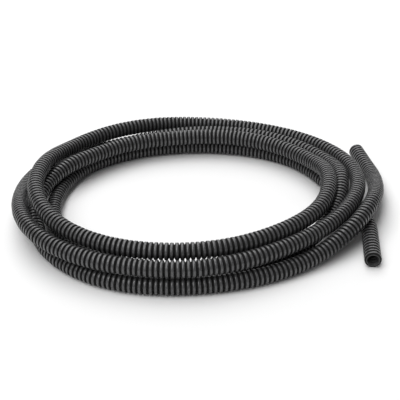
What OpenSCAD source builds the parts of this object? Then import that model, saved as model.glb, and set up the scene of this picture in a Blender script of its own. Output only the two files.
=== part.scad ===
// Loose coil of corrugated plastic cable sleeve, cut square at both ends.
// The sleeve is one extruded piece. It lies in a little over four turns that cross over
// and under each other, and a short straight stretch leads to each open mouth.

/* [Sleeve] */
// Outside diameter over the ridges
sleeve_od = 10; // [9:0.1:11]
// Clear bore inside the grooves
bore_d = 7; // [6:0.1:7.4]
// Thickness of the corrugated wall
wall_t = 0.4; // [0.3:0.05:0.5]
// Distance from one ridge to the next
ridge_pitch = 2.9; // [2.6:0.1:3.4]
// Width of the flat on top of a ridge
ridge_top_w = 1.3; // [1:0.1:1.4]
// Width of the flat at the bottom of a groove
groove_w = 0.7; // [0.6:0.1:0.9]
// Number of ridges on the straight stretch at each mouth
mouth_ridges = 6; // [5:1:9]

/* [Coil] */
// Width of the clear eye inside the turns
eye_w = 156; // [140:1:176]
// Reach of the eye from its widest line to the back
eye_back = 57; // [53:1:70]
// Reach of the eye from its widest line to the front
eye_front = 76; // [68:1:84]

/* [Hidden] */

// The route in the order in which the sleeve is laid, as steps out from the eye and up from
// the floor in sleeve diameters. There is a pair for every lane_step degrees around the eye,
// six to a line, so that four lines are a whole turn.
lane_step = 15;
lane_start = -45;
lanes = [
    [4.5, 0], [3.6, 0], [2.4, 0], [0.75, 0], [0.25, 0], [0.4, 0],
    [0.55, 0], [0.55, 0], [0.5, 0], [0.45, 0], [0.45, 0], [0.45, 0],
    [0.45, 0], [0.45, 0], [0.4, 0], [0.55, 0], [0.95, 0], [1.3, 0],
    [1.25, 0], [1.2, 0], [1.2, 0], [1.1, 0], [0.95, 0], [0.85, 0],
    [0.75, 0.2], [0.7, 0.45], [0.7, 0.65], [0.9, 1.2], [1.1, 0.8], [1.3, 0.55],
    [1.35, 0.65], [1.35, 0.7], [1.4, 0.65], [1.4, 0.55], [1.4, 0.45], [1.5, 0.15],
    [1.95, 0], [2.65, 0], [2.9, 0], [2.8, 0.15], [2.9, 0.9], [3.35, 1.2],
    [3.25, 1.1], [2.85, 1.05], [2.45, 1.05], [2.15, 1.05], [1.7, 1.05], [1.4, 1.1],
    [1.35, 1.1], [1.45, 1.1], [1.75, 1.1], [1.95, 0.95], [2.15, 0.8], [2.35, 0.7],
    [2.4, 0.7], [2.4, 0.7], [2.45, 0.7], [2.5, 0.75], [2.35, 0.95], [2.05, 1.1],
    [1.85, 1.1], [1.5, 1.2], [1.35, 1.65], [1.5, 1.9], [1.95, 1.95], [2.15, 1.75],
    [2.15, 1.65], [1.85, 1.55], [1.45, 1.55], [1.1, 1.55], [0.8, 1.55], [0.5, 1.55],
    [0.4, 1.55], [0.35, 1.55], [0.1, 1.65], [-0.05, 1.55], [-0.2, 1.2], [-0.15, 1],
    [0, 0.95], [0.15, 0.95], [0.15, 0.95], [0, 0.95], [-0.05, 0.9], [-0.05, 0.95],
    [-0.1, 0.95], [-0.1, 1], [0.35, 1.1], [1.1, 0.9], [2, 0.6], [2.65, 0.05],
    [2.9, 0], [2.95, 0], [2.6, 0], [2.2, 0], [2, 0], [1.95, 0],
    [2.05, 0.15], [2.55, 0.95], [2.85, 1.2], [3.1, 0.45], [3.7, -0.05], [4.35, 0],
    [5, 0]
];
// Angles around the eye at which the turns start and stop
first_angle = -29.5;
last_angle = 1462.5;
// Angle from one ring of the swept tube to the next, about
ring_step = 7.5;
// Sides of the swept tube
sides = 12;
// Straight lead of the swept tube in front of each mouth
lead_len = 4;
// How far a mouth's spigot is sunk into the wall of the lead
spigot_len = 3;
// Play that keeps the spigot inside the swept wall
spigot_play = 0.08;

groove_r = bore_d / 2 + wall_t;
ridge_r = sleeve_od / 2;
flank_w = (ridge_pitch - ridge_top_w - groove_w) / 2;
bore_r = bore_d / 2;
swept_bore_r = bore_r - spigot_play;
// The cut goes through the middle of the groove after the last ridge.
mouth_len = mouth_ridges * ridge_pitch;

// Half-wave points of one ridge, outside and inside: distance from the axis, and along it.
// The wall keeps its thickness on the flanks, so the inside corners shift along the axis.
flank_shift = wall_t * tan(atan2(ridge_r - groove_r, flank_w) / 2);
ridge_outside = [
    [groove_r, groove_w / 2],
    [ridge_r, groove_w / 2 + flank_w],
    [ridge_r, ridge_pitch - groove_w / 2 - flank_w],
    [groove_r, ridge_pitch - groove_w / 2]
];
ridge_inside = [
    [bore_r, groove_w / 2 + flank_shift],
    [ridge_r - wall_t, groove_w / 2 + flank_w + flank_shift],
    [ridge_r - wall_t, ridge_pitch - groove_w / 2 - flank_w - flank_shift],
    [bore_r, ridge_pitch - groove_w / 2 - flank_shift]
];

// Steps out and up at any angle: an even cubic spline, which leans on four pairs at a time.
function lane(angle) =
    let (
        x = (angle - lane_start) / lane_step,
        i = floor(x),
        f = x - i
    )
    (lanes[i - 1] * pow(1 - f, 3)
        + lanes[i] * (3 * pow(f, 3) - 6 * pow(f, 2) + 4)
        + lanes[i + 1] * (3 * f + 3 * pow(f, 2) - 3 * pow(f, 3) + 1)
        + lanes[i + 2] * pow(f, 3)) / 6;

// Point of the sleeve's centre line at an angle. No point sinks into the floor.
function centre(angle) =
    let (
        step = lane(angle),
        out = sleeve_od * (0.5 + step[0]),
        reach = sin(angle) > 0 ? eye_back : eye_front
    )
    [
        (eye_w / 2 + out) * cos(angle),
        (reach + out) * sin(angle),
        sleeve_od * (0.5 + max(0, step[1]))
    ];

function unit(v) = v / norm(v);
function level(v) = unit([v[0], v[1], 0]);

// The turns, and the level directions in which the two ends leave them.
steps = round((last_angle - first_angle) / ring_step);
turns = [for (k = [0 : steps]) centre(first_angle + (last_angle - first_angle) * k / steps)];
start_way = level(turns[0] - turns[1]);
end_way = level(turns[steps] - turns[steps - 1]);

// Centres of all rings of the swept tube: the turns with a straight lead at each end.
start_lead = turns[0] + start_way * lead_len;
end_lead = turns[steps] + end_way * lead_len;
line = concat([start_lead], turns, [end_lead]);
rings = len(line) - 1;

// Direction of the route at a ring.
function along(k) =
    k == 0 ? -start_way
    : k == rings ? end_way
    : unit(unit(line[k] - line[k - 1]) + unit(line[k + 1] - line[k]));

// Lowest and highest values of the laid sleeve along one axis, seen from above.
spans = [for (axis = [0 : 1])
    let (
        start_tip = [start_lead + start_way * mouth_len, start_way],
        end_tip = [end_lead + end_way * mouth_len, end_way],
        hoops = concat([start_tip, end_tip], [for (k = [0 : rings]) [line[k], along(k)]]),
        half = [for (h = hoops) ridge_r * sqrt(1 - pow(h[1][axis], 2))]
    )
    [
        min([for (i = [0 : len(hoops) - 1]) hoops[i][0][axis] - half[i]]),
        max([for (i = [0 : len(hoops) - 1]) hoops[i][0][axis] + half[i]])
    ]];
// The middle of the laid coil, which stands over the origin.
middle = [(spans[0][0] + spans[0][1]) / 2, (spans[1][0] + spans[1][1]) / 2, 0];

// Points of one ring of the swept tube, from its top round.
function ring(k, r) =
    let (
        way = along(k),
        side = level(cross(way, [0, 0, 1])),
        top = cross(side, way)
    )
    [for (s = [0 : sides - 1])
        let (a = 360 * s / sides) line[k] + r * (top * cos(a) + side * sin(a))];

// Faces that join two rings of points, given the number of each ring's first point.
function band(a, b) =
    [for (s = [0 : sides - 1])
        let (n = (s + 1) % sides) [a + s, b + s, b + n, a + n]];

// The laid turns: the sleeve's outside over its ridges, and its bore, swept along the route.
module laid_turns() {
    points = concat(
        [for (k = [0 : rings]) each ring(k, ridge_r)],
        [for (k = [0 : rings]) each ring(k, swept_bore_r)]
    );
    inside = (rings + 1) * sides;
    last = rings * sides;
    faces = concat(
        [for (k = [0 : rings - 1]) each band(k * sides, (k + 1) * sides)],
        [for (k = [0 : rings - 1]) each band(inside + (k + 1) * sides, inside + k * sides)],
        band(inside, 0),
        band(last, inside + last)
    );
    polyhedron(points, faces);
}

// One straight stretch with its ridges, from its spigot up to the cut.
module mouth() {
    outside = [for (i = [0 : mouth_ridges - 1], p = ridge_outside) p + [0, i * ridge_pitch]];
    inside = [for (i = [0 : mouth_ridges - 1], p = ridge_inside) p + [0, i * ridge_pitch]];
    cut_outside = concat([[groove_r, -spigot_len]], outside, [[groove_r, mouth_len]]);
    cut_inside = concat([[bore_r, -spigot_len]], inside, [[bore_r, mouth_len]]);
    rotate_extrude($fn = 48)
        polygon(concat(cut_outside, [for (i = [len(cut_inside) - 1 : -1 : 0]) cut_inside[i]]));
}

// A mouth placed at an end of the laid turns, facing along a level direction.
module mouth_at(place, way) {
    translate(place)
        rotate([0, 90, atan2(way[1], way[0])])
            mouth();
}

module corrugated_sleeve() {
    color("#1c1c1c")
        translate(-middle)
            union() {
                laid_turns();
                mouth_at(start_lead, start_way);
                mouth_at(end_lead, end_way);
            }
}

corrugated_sleeve();
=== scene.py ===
import math
import bpy
import numpy as np
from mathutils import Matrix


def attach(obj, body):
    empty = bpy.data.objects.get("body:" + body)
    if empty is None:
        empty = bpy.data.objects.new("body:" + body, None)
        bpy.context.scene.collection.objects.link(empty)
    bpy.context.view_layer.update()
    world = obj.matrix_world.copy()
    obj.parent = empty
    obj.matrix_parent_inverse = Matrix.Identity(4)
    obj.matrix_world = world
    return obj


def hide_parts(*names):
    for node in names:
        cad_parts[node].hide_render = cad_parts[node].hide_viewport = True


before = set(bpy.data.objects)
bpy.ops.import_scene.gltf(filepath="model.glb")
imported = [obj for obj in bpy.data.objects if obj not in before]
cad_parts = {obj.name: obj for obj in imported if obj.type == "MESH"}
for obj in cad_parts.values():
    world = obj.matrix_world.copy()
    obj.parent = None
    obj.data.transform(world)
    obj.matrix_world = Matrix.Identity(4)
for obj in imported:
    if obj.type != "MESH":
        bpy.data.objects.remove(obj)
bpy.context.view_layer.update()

# The view. A camera stands straight in front of the coil, 30 degrees above the floor,
# with a long lens, so that the turns at the back look only a little smaller.
look_at = np.array([-0.00047, 0.00814, 0.0])
away = 0.615
elevation = math.radians(30)
focal_px = 953
frame_px = 400
lens = bpy.data.cameras.new("studio_camera")
lens.sensor_width = 36
lens.lens = focal_px / frame_px * lens.sensor_width
camera = bpy.data.objects.new("studio_camera", lens)
camera.location = look_at + away * np.array([0, -math.cos(elevation), math.sin(elevation)])
camera.rotation_euler = (math.pi / 2 - elevation, 0, 0)
bpy.context.collection.objects.link(camera)
bpy.context.scene.camera = camera

# The corrugated sleeve: one length of black polyamide tube, extruded soft and blown into
# ring moulds that run along with it, so ridge follows ridge from end to end. It is cut
# square in a groove at both ends and lies in a loose coil of a little over four turns.
sleeve_d = 0.010
ridge_r = sleeve_d / 2
groove_r = 0.0039
bore_r = 0.0035
wall = 0.0004
ridge_pitch = 0.0029
mouth_ridges = 6
eye_w, eye_back, eye_front = 0.156, 0.057, 0.076
lane_step, lane_start = 15, -45
first_angle, last_angle, ring_step = -29.5, 1462.5, 7.5
lead = 0.004
# The middle of the coil's own box, which stands over the origin.
middle = np.array([0.002371, -0.008738, 0])
# Steps out from the eye and up from the floor in sleeve diameters, a pair for every
# lane_step degrees in the order in which the sleeve is laid, a quarter turn to a line.
lanes = np.array([
    (4.5, 0), (3.6, 0), (2.4, 0), (0.75, 0), (0.25, 0), (0.4, 0),
    (0.55, 0), (0.55, 0), (0.5, 0), (0.45, 0), (0.45, 0), (0.45, 0),
    (0.45, 0), (0.45, 0), (0.4, 0), (0.55, 0), (0.95, 0), (1.3, 0),
    (1.25, 0), (1.2, 0), (1.2, 0), (1.1, 0), (0.95, 0), (0.85, 0),
    (0.75, 0.2), (0.7, 0.45), (0.7, 0.65), (0.9, 1.2), (1.1, 0.8), (1.3, 0.55),
    (1.35, 0.65), (1.35, 0.7), (1.4, 0.65), (1.4, 0.55), (1.4, 0.45), (1.5, 0.15),
    (1.95, 0), (2.65, 0), (2.9, 0), (2.8, 0.15), (2.9, 0.9), (3.35, 1.2),
    (3.25, 1.1), (2.85, 1.05), (2.45, 1.05), (2.15, 1.05), (1.7, 1.05), (1.4, 1.1),
    (1.35, 1.1), (1.45, 1.1), (1.75, 1.1), (1.95, 0.95), (2.15, 0.8), (2.35, 0.7),
    (2.4, 0.7), (2.4, 0.7), (2.45, 0.7), (2.5, 0.75), (2.35, 0.95), (2.05, 1.1),
    (1.85, 1.1), (1.5, 1.2), (1.35, 1.65), (1.5, 1.9), (1.95, 1.95), (2.15, 1.75),
    (2.15, 1.65), (1.85, 1.55), (1.45, 1.55), (1.1, 1.55), (0.8, 1.55), (0.5, 1.55),
    (0.4, 1.55), (0.35, 1.55), (0.1, 1.65), (-0.05, 1.55), (-0.2, 1.2), (-0.15, 1),
    (0, 0.95), (0.15, 0.95), (0.15, 0.95), (0, 0.95), (-0.05, 0.9), (-0.05, 0.95),
    (-0.1, 0.95), (-0.1, 1), (0.35, 1.1), (1.1, 0.9), (2, 0.6), (2.65, 0.05),
    (2.9, 0), (2.95, 0), (2.6, 0), (2.2, 0), (2, 0), (1.95, 0),
    (2.05, 0.15), (2.55, 0.95), (2.85, 1.2), (3.1, 0.45), (3.7, -0.05), (4.35, 0),
    (5, 0),
])


def lane(angle):
    """Steps out and up at each angle: an even cubic spline, the weighted mean of the four
    pairs around the angle, with weights that depend on how far it is past the second."""
    x = (angle - lane_start) / lane_step
    i = np.floor(x).astype(int)
    f = (x - i)[:, None]
    return (lanes[i - 1] * (1 - f) ** 3
            + lanes[i] * (3 * f ** 3 - 6 * f ** 2 + 4)
            + lanes[i + 1] * (3 * f + 3 * f ** 2 - 3 * f ** 3 + 1)
            + lanes[i + 2] * f ** 3) / 6


def laid_route():
    """Ring centres of the laid sleeve from mouth to mouth: an oval around the eye, widened
    by the steps out and raised by the steps up, with a straight level stretch at each end."""
    rings = round((last_angle - first_angle) / ring_step)
    angle = first_angle + (last_angle - first_angle) * np.arange(rings + 1) / rings
    out, up = lane(angle).T
    out = sleeve_d * (0.5 + out)
    turn = np.radians(angle)
    reach = np.where(np.sin(turn) > 0, eye_back, eye_front)
    turns = np.stack([(eye_w / 2 + out) * np.cos(turn), (reach + out) * np.sin(turn),
                      sleeve_d * (0.5 + np.maximum(0, up))], 1)
    ways = (turns[[0, -1]] - turns[[1, -2]]) * (1, 1, 0)
    ways /= np.linalg.norm(ways, axis=1)[:, None]
    straight = lead + mouth_ridges * ridge_pitch
    tips = turns[[0, -1]] + ways * straight
    return np.vstack([tips[:1], turns, tips[1:]])


def smooth_line(points, step, reach):
    """An even, rounded line through a chain of points: points every step along the chain,
    each put at the mean of its neighbours within reach, twice over. Both ends are drawn
    on past the last point first, so that they stay where they are."""
    ends = np.vstack([points[0] + (points[0] - points[1]) * 2, points,
                      points[-1] + (points[-1] - points[-2]) * 2])
    gone = np.append(0, np.cumsum(np.linalg.norm(np.diff(ends, axis=0), axis=1)))
    skip = np.linalg.norm(ends[1] - ends[0])
    whole = gone[-1] - skip - np.linalg.norm(ends[-1] - ends[-2])
    count = round(whole / step)
    spare = round(2 * reach / step)
    at = skip + whole * np.arange(-spare, count + spare + 1) / count
    line = np.stack([np.interp(at, gone, axis) for axis in ends.T], 1)
    window = np.ones(2 * round(reach / step / 2) + 1)
    window = np.convolve(window, window) / window.sum() ** 2
    line = np.stack([np.convolve(axis, window, "same") for axis in line.T], 1)
    return line[spare:spare + count + 1]


def carried_rings(line, along, radius, sides):
    """Rings of points around a line, and their centres: at each distance along it a circle
    of that radius, square to the line, counted from its top round to its right side. The
    square frame comes from the line's direction and the vertical."""
    gone = np.append(0, np.cumsum(np.linalg.norm(np.diff(line, axis=0), axis=1)))
    way = np.gradient(line, axis=0)
    centre = np.stack([np.interp(along, gone, axis) for axis in line.T], 1)
    way = np.stack([np.interp(along, gone, axis) for axis in way.T], 1)
    way /= np.linalg.norm(way, axis=1)[:, None]
    side = np.cross(way, (0, 0, 1))
    side /= np.linalg.norm(side, axis=1)[:, None]
    top = np.cross(side, way)
    turn = 2 * np.pi * np.arange(sides) / sides
    spoke = top[:, None] * np.cos(turn)[:, None] + side[:, None] * np.sin(turn)[:, None]
    return centre, centre[:, None] + radius[:, None, None] * spoke


def closed_grid(name, points, along):
    """A mesh of squares over rings of points that closes on itself both ways, so the last
    ring joins the first. Its UV map holds the distance along in metres and the share of a
    turn, which runs on to 1 where a ring closes."""
    rings, sides = points.shape[:2]
    k, s = np.meshgrid(np.arange(rings), np.arange(sides), indexing="ij")
    corner_k = np.stack([k, k, k + 1, k + 1], 2).reshape(-1, 4)
    corner_s = np.stack([s, s + 1, s + 1, s], 2).reshape(-1, 4)
    faces = corner_k % rings * sides + corner_s % sides
    mesh = bpy.data.meshes.new(name)
    mesh.vertices.add(rings * sides)
    mesh.vertices.foreach_set("co", points.astype(np.float32).ravel())
    mesh.loops.add(faces.size)
    mesh.loops.foreach_set("vertex_index", faces.astype(np.int32).ravel())
    mesh.polygons.add(len(faces))
    mesh.polygons.foreach_set("loop_start", np.arange(0, faces.size, 4, dtype=np.int32))
    mesh.update(calc_edges=True)
    uv = np.stack([along[corner_k % rings], corner_s / sides], 2).astype(np.float32)
    mesh.uv_layers.new(name="sleeve_uv").data.foreach_set("uv", uv.ravel())
    mesh.validate()
    return mesh


# One ridge from groove to groove, as shares of the pitch, and the radius there. The tops
# are broad with rounded shoulders, the flanks steep and the grooves narrow.
shoulder_r, hollow_shoulder_r = 0.0047, 0.0045
hollow_r = ridge_r - wall
outside_at = np.array([0.08, 0.14, 0.3, 0.7, 0.86, 0.92])
outside_r = np.array([groove_r, shoulder_r, ridge_r, ridge_r, shoulder_r, groove_r])
inside_at = np.array([0.2, 0.33, 0.39, 0.61, 0.67, 0.8])
inside_r = np.array([bore_r, hollow_shoulder_r, hollow_r,
                     hollow_r, hollow_shoulder_r, bore_r])

# The route is followed every half millimetre, and its corners are rounded over 6 mm.
line_step, rounding = 0.0005, 0.006
line = smooth_line(laid_route() - middle, line_step, rounding)
sleeve_len = np.linalg.norm(np.diff(line, axis=0), axis=1).sum()
ridges = round(sleeve_len / ridge_pitch)
pitch = sleeve_len / ridges
out_at = (np.arange(ridges)[:, None] + outside_at).ravel() * pitch
out_at = np.concatenate([[0], out_at, [sleeve_len]])
out_r = np.concatenate([[groove_r], np.tile(outside_r, ridges), [groove_r]])
# Inside, the ridges are hollow as far in as one can see, and the rest is a plain bore.
plain_rings = 200
deep_at = (np.arange(mouth_ridges)[:, None] + inside_at).ravel() * pitch
deep_r = np.tile(inside_r, mouth_ridges)
plain_at = np.linspace(deep_at[-1], sleeve_len - deep_at[-1], plain_rings + 2)[1:-1]
plain_r = np.full(plain_rings, bore_r)
in_at = np.concatenate([[0], deep_at, plain_at, sleeve_len - deep_at[::-1], [sleeve_len]])
in_r = np.concatenate([[bore_r], deep_r, plain_r, deep_r[::-1], [bore_r]])
# One skin goes out along the outside and comes back along the inside.
along = np.concatenate([out_at, in_at[::-1]])
radius = np.concatenate([out_r, in_r[::-1]])
sides = 18
centres, points = carried_rings(line, along, radius, sides)
sleeve_mesh = closed_grid("corrugated_sleeve_ridged", points, along)
# How far up a ridge each point is, from 0 in the groove to 1 on the crest; it sets the painted
# shade in the grooves and the painted highlight on the crests. The inside, which took its skin
# from no mould, counts as just below a crest, and so do both cut ends with their last flank,
# which are painted lighter as a painted highlight on the cut face.
inside_height, cut_height = 0.967, 0.972
height = np.clip((radius - groove_r) / (ridge_r - groove_r), 0, 1)
height[len(out_at):] = inside_height
# Both cut ends and their last flank are painted lighter: a painted highlight on the cut face.
height[[0, 1, len(out_at) - 2, len(out_at) - 1]] = cut_height
crest = sleeve_mesh.attributes.new("crest", "FLOAT", "POINT")
crest.data.foreach_set("value", np.repeat(height, sides).astype(np.float32))
sharp_edge = math.radians(60)
sleeve_mesh.polygons.foreach_set("use_smooth", np.ones(len(sleeve_mesh.polygons), bool))
sleeve_mesh.set_sharp_from_angle(angle=sharp_edge)
sleeve = bpy.data.objects.new("corrugated_sleeve_ridged", sleeve_mesh)
bpy.context.collection.objects.link(sleeve)
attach(sleeve, "root")
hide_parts("corrugated_sleeve")


def linear(hex_colour):
    """A colour written as sRGB hex, turned to the linear values that a shader takes."""
    c = np.array([int(hex_colour[i:i + 2], 16) for i in (1, 3, 5)]) / 255
    c = np.where(c <= 0.04045, c / 12.92, ((c + 0.055) / 1.055) ** 2.4)
    return (*c, 1)


def node(tree, kind, inputs=None, **settings):
    """Adds one node: settings are its own properties, and inputs fills its sockets by name
    or number, each with a plain value or with another node's output."""
    made = tree.nodes.new(kind)
    for name, value in settings.items():
        setattr(made, name, value)
    for socket, value in (inputs or {}).items():
        if isinstance(value, bpy.types.NodeSocket):
            tree.links.new(value, made.inputs[socket])
        else:
            made.inputs[socket].default_value = value
    return made


# Black polyamide, blown against a steel mould: carbon black all through, matt in the grooves
# and satin with a fine mould grain on the crests. The grooves are painted near black as painted
# shade and the crests painted grey as a painted highlight; grey rub specks lie on the crests,
# where the coil has been handled and has rubbed on itself.
# A faint seam on both sides shows where the mould halves met.
black_polyamide = bpy.data.materials.new("black_polyamide_blown")
black_polyamide.use_nodes = True
tree = black_polyamide.node_tree
tree.nodes.clear()
place = node(tree, "ShaderNodeTexCoord").outputs["Object"]
# The painted highlight grey of the crests begins close below them.
painted_grey_from = 0.93
rise = node(tree, "ShaderNodeAttribute", attribute_name="crest").outputs["Fac"]
rise = node(tree, "ShaderNodeMapRange",
            {"Value": rise, "From Min": painted_grey_from, "From Max": 1.0,
             "To Min": 0.0, "To Max": 1.0}).outputs["Result"]
# Handling shows as clouds about 18 mm wide.
cloud_w = 0.018
clouds = node(tree, "ShaderNodeTexNoise",
              {"Vector": place, "Scale": 1 / cloud_w, "Detail": 3.0,
               "Roughness": 0.6}).outputs["Fac"]
# Rub marks are specks about 1.2 mm wide, on the crests only.
speck_w = 0.0012
specks = node(tree, "ShaderNodeTexNoise",
              {"Vector": place, "Scale": 1 / speck_w, "Detail": 2.0,
               "Roughness": 0.55}).outputs["Fac"]
worn = node(tree, "ShaderNodeMapRange",
            {"Value": specks, "From Min": 0.42, "From Max": 0.72,
             "To Min": 0.0, "To Max": 1.0}).outputs["Result"]
worn = node(tree, "ShaderNodeMath", {0: worn, 1: rise}, operation="MULTIPLY").outputs[0]
rubbed = node(tree, "ShaderNodeMath", {0: worn, 1: clouds}, operation="MULTIPLY").outputs[0]
# Painted light and shade: near black in the grooves, lit grey on the crests, blended by height
# up the ridge.
skin = node(tree, "ShaderNodeMix", {6: linear("#050505"), 7: linear("#4c4c4d"), 0: rise},
            data_type="RGBA").outputs[2]
skin = node(tree, "ShaderNodeMix", {6: skin, 7: linear("#59595b"), 0: rubbed},
            data_type="RGBA").outputs[2]
# The crests are satin, duller where they are clouded or rubbed, and the grooves quite matt.
matt, rub_dulls = 1.0, 0.25
dull = node(tree, "ShaderNodeMapRange",
            {"Value": clouds, "From Min": 0.3, "From Max": 0.7,
             "To Min": 0.2, "To Max": 0.28}).outputs["Result"]
dull = node(tree, "ShaderNodeMath", {0: rubbed, 1: rub_dulls, 2: dull},
            operation="MULTIPLY_ADD").outputs[0]
dull = node(tree, "ShaderNodeMapRange",
            {"Value": rise, "From Min": 0.0, "From Max": 1.0,
             "To Min": matt, "To Max": dull}).outputs["Result"]
# The mould's grain is finer than a tenth of a millimetre; it is drawn at 0.35 mm to show.
grain_w, grain_depth = 0.00035, 0.00003
grain = node(tree, "ShaderNodeTexNoise",
             {"Vector": place, "Scale": 1 / grain_w, "Detail": 1.0}).outputs["Fac"]
# The seams run along the tube a quarter turn from its top, at both sides. Each is rounded,
# stands twice as high as the grain and is about 0.3 mm wide at half its height, which is
# this share of a turn of 31.4 mm.
quarter, seam_share, seam_rise = 0.25, 0.0095, 2.0
uv_place = node(tree, "ShaderNodeUVMap", uv_map="sleeve_uv").outputs[0]
round_it = node(tree, "ShaderNodeSeparateXYZ", {0: uv_place}).outputs["Y"]
half_turn = node(tree, "ShaderNodeMath", {0: round_it, 1: quarter},
                 operation="PINGPONG").outputs[0]
seam = node(tree, "ShaderNodeMapRange",
            {"Value": half_turn, "From Min": quarter - seam_share, "From Max": quarter,
             "To Min": 0.0, "To Max": 1.0},
            interpolation_type="SMOOTHSTEP").outputs["Result"]
relief = node(tree, "ShaderNodeMath", {0: seam, 1: seam_rise, 2: grain},
              operation="MULTIPLY_ADD").outputs[0]
bumps = node(tree, "ShaderNodeBump",
             {"Height": relief, "Distance": grain_depth, "Strength": 0.35}).outputs["Normal"]
shader = node(tree, "ShaderNodeBsdfPrincipled",
              {"Base Color": skin, "Roughness": dull, "Normal": bumps, "IOR": 1.57})
node(tree, "ShaderNodeOutputMaterial", {"Surface": shader.outputs[0]})
sleeve_mesh.materials.append(black_polyamide)

# The studio: a white paper floor that runs out of sight, a wide soft lamp overhead, a tall
# narrow one in front beyond the camera, both a little to the left, a broad bright panel low
# at the back, which the tops of the ridges mirror, and a little even light from all around.
floor_half = 4.0
floor_corners = [(-floor_half, -floor_half, 0), (floor_half, -floor_half, 0),
                 (floor_half, floor_half, 0), (-floor_half, floor_half, 0)]
floor_mesh = bpy.data.meshes.new("studio_floor")
floor_mesh.from_pydata(floor_corners, [], [(0, 1, 2, 3)])
floor = bpy.data.objects.new("studio_floor", floor_mesh)
bpy.context.collection.objects.link(floor)
white_paper = bpy.data.materials.new("white_backdrop_paper")
white_paper.use_nodes = True
tree = white_paper.node_tree
tree.nodes.clear()
paper = node(tree, "ShaderNodeBsdfDiffuse", {"Color": linear("#fdfdfd")})
node(tree, "ShaderNodeOutputMaterial", {"Surface": paper.outputs[0]})
floor_mesh.materials.append(white_paper)


def soft_lamp(name, stand, size, watts):
    """A rectangular lamp that stands at a point, turned to face the origin."""
    light = bpy.data.lights.new(name, "AREA")
    light.shape = "RECTANGLE"
    light.size, light.size_y = size
    light.energy = watts
    lamp = bpy.data.objects.new(name, light)
    lamp.location = stand
    lamp.rotation_euler = lamp.location.to_track_quat("Z", "Y").to_euler()
    bpy.context.collection.objects.link(lamp)


soft_lamp("overhead_softbox", (-0.7, 0.3, 2.6), (5.0, 2.2), 88)
soft_lamp("front_softbox", (-0.9, -2.1, 2.2), (1.0, 2.8), 21)
soft_lamp("back_panel", (0, 2.7, 1.2), (4.0, 2.4), 35)

surround = bpy.data.worlds.new("studio_surround")
surround.use_nodes = True
tree = surround.node_tree
tree.nodes.clear()
sky = node(tree, "ShaderNodeBackground", {"Color": linear("#ffffff"), "Strength": 0.125})
node(tree, "ShaderNodeOutputWorld", {"Surface": sky.outputs[0]})
bpy.context.scene.world = surround

bpy.context.scene.view_settings.view_transform = "Standard"
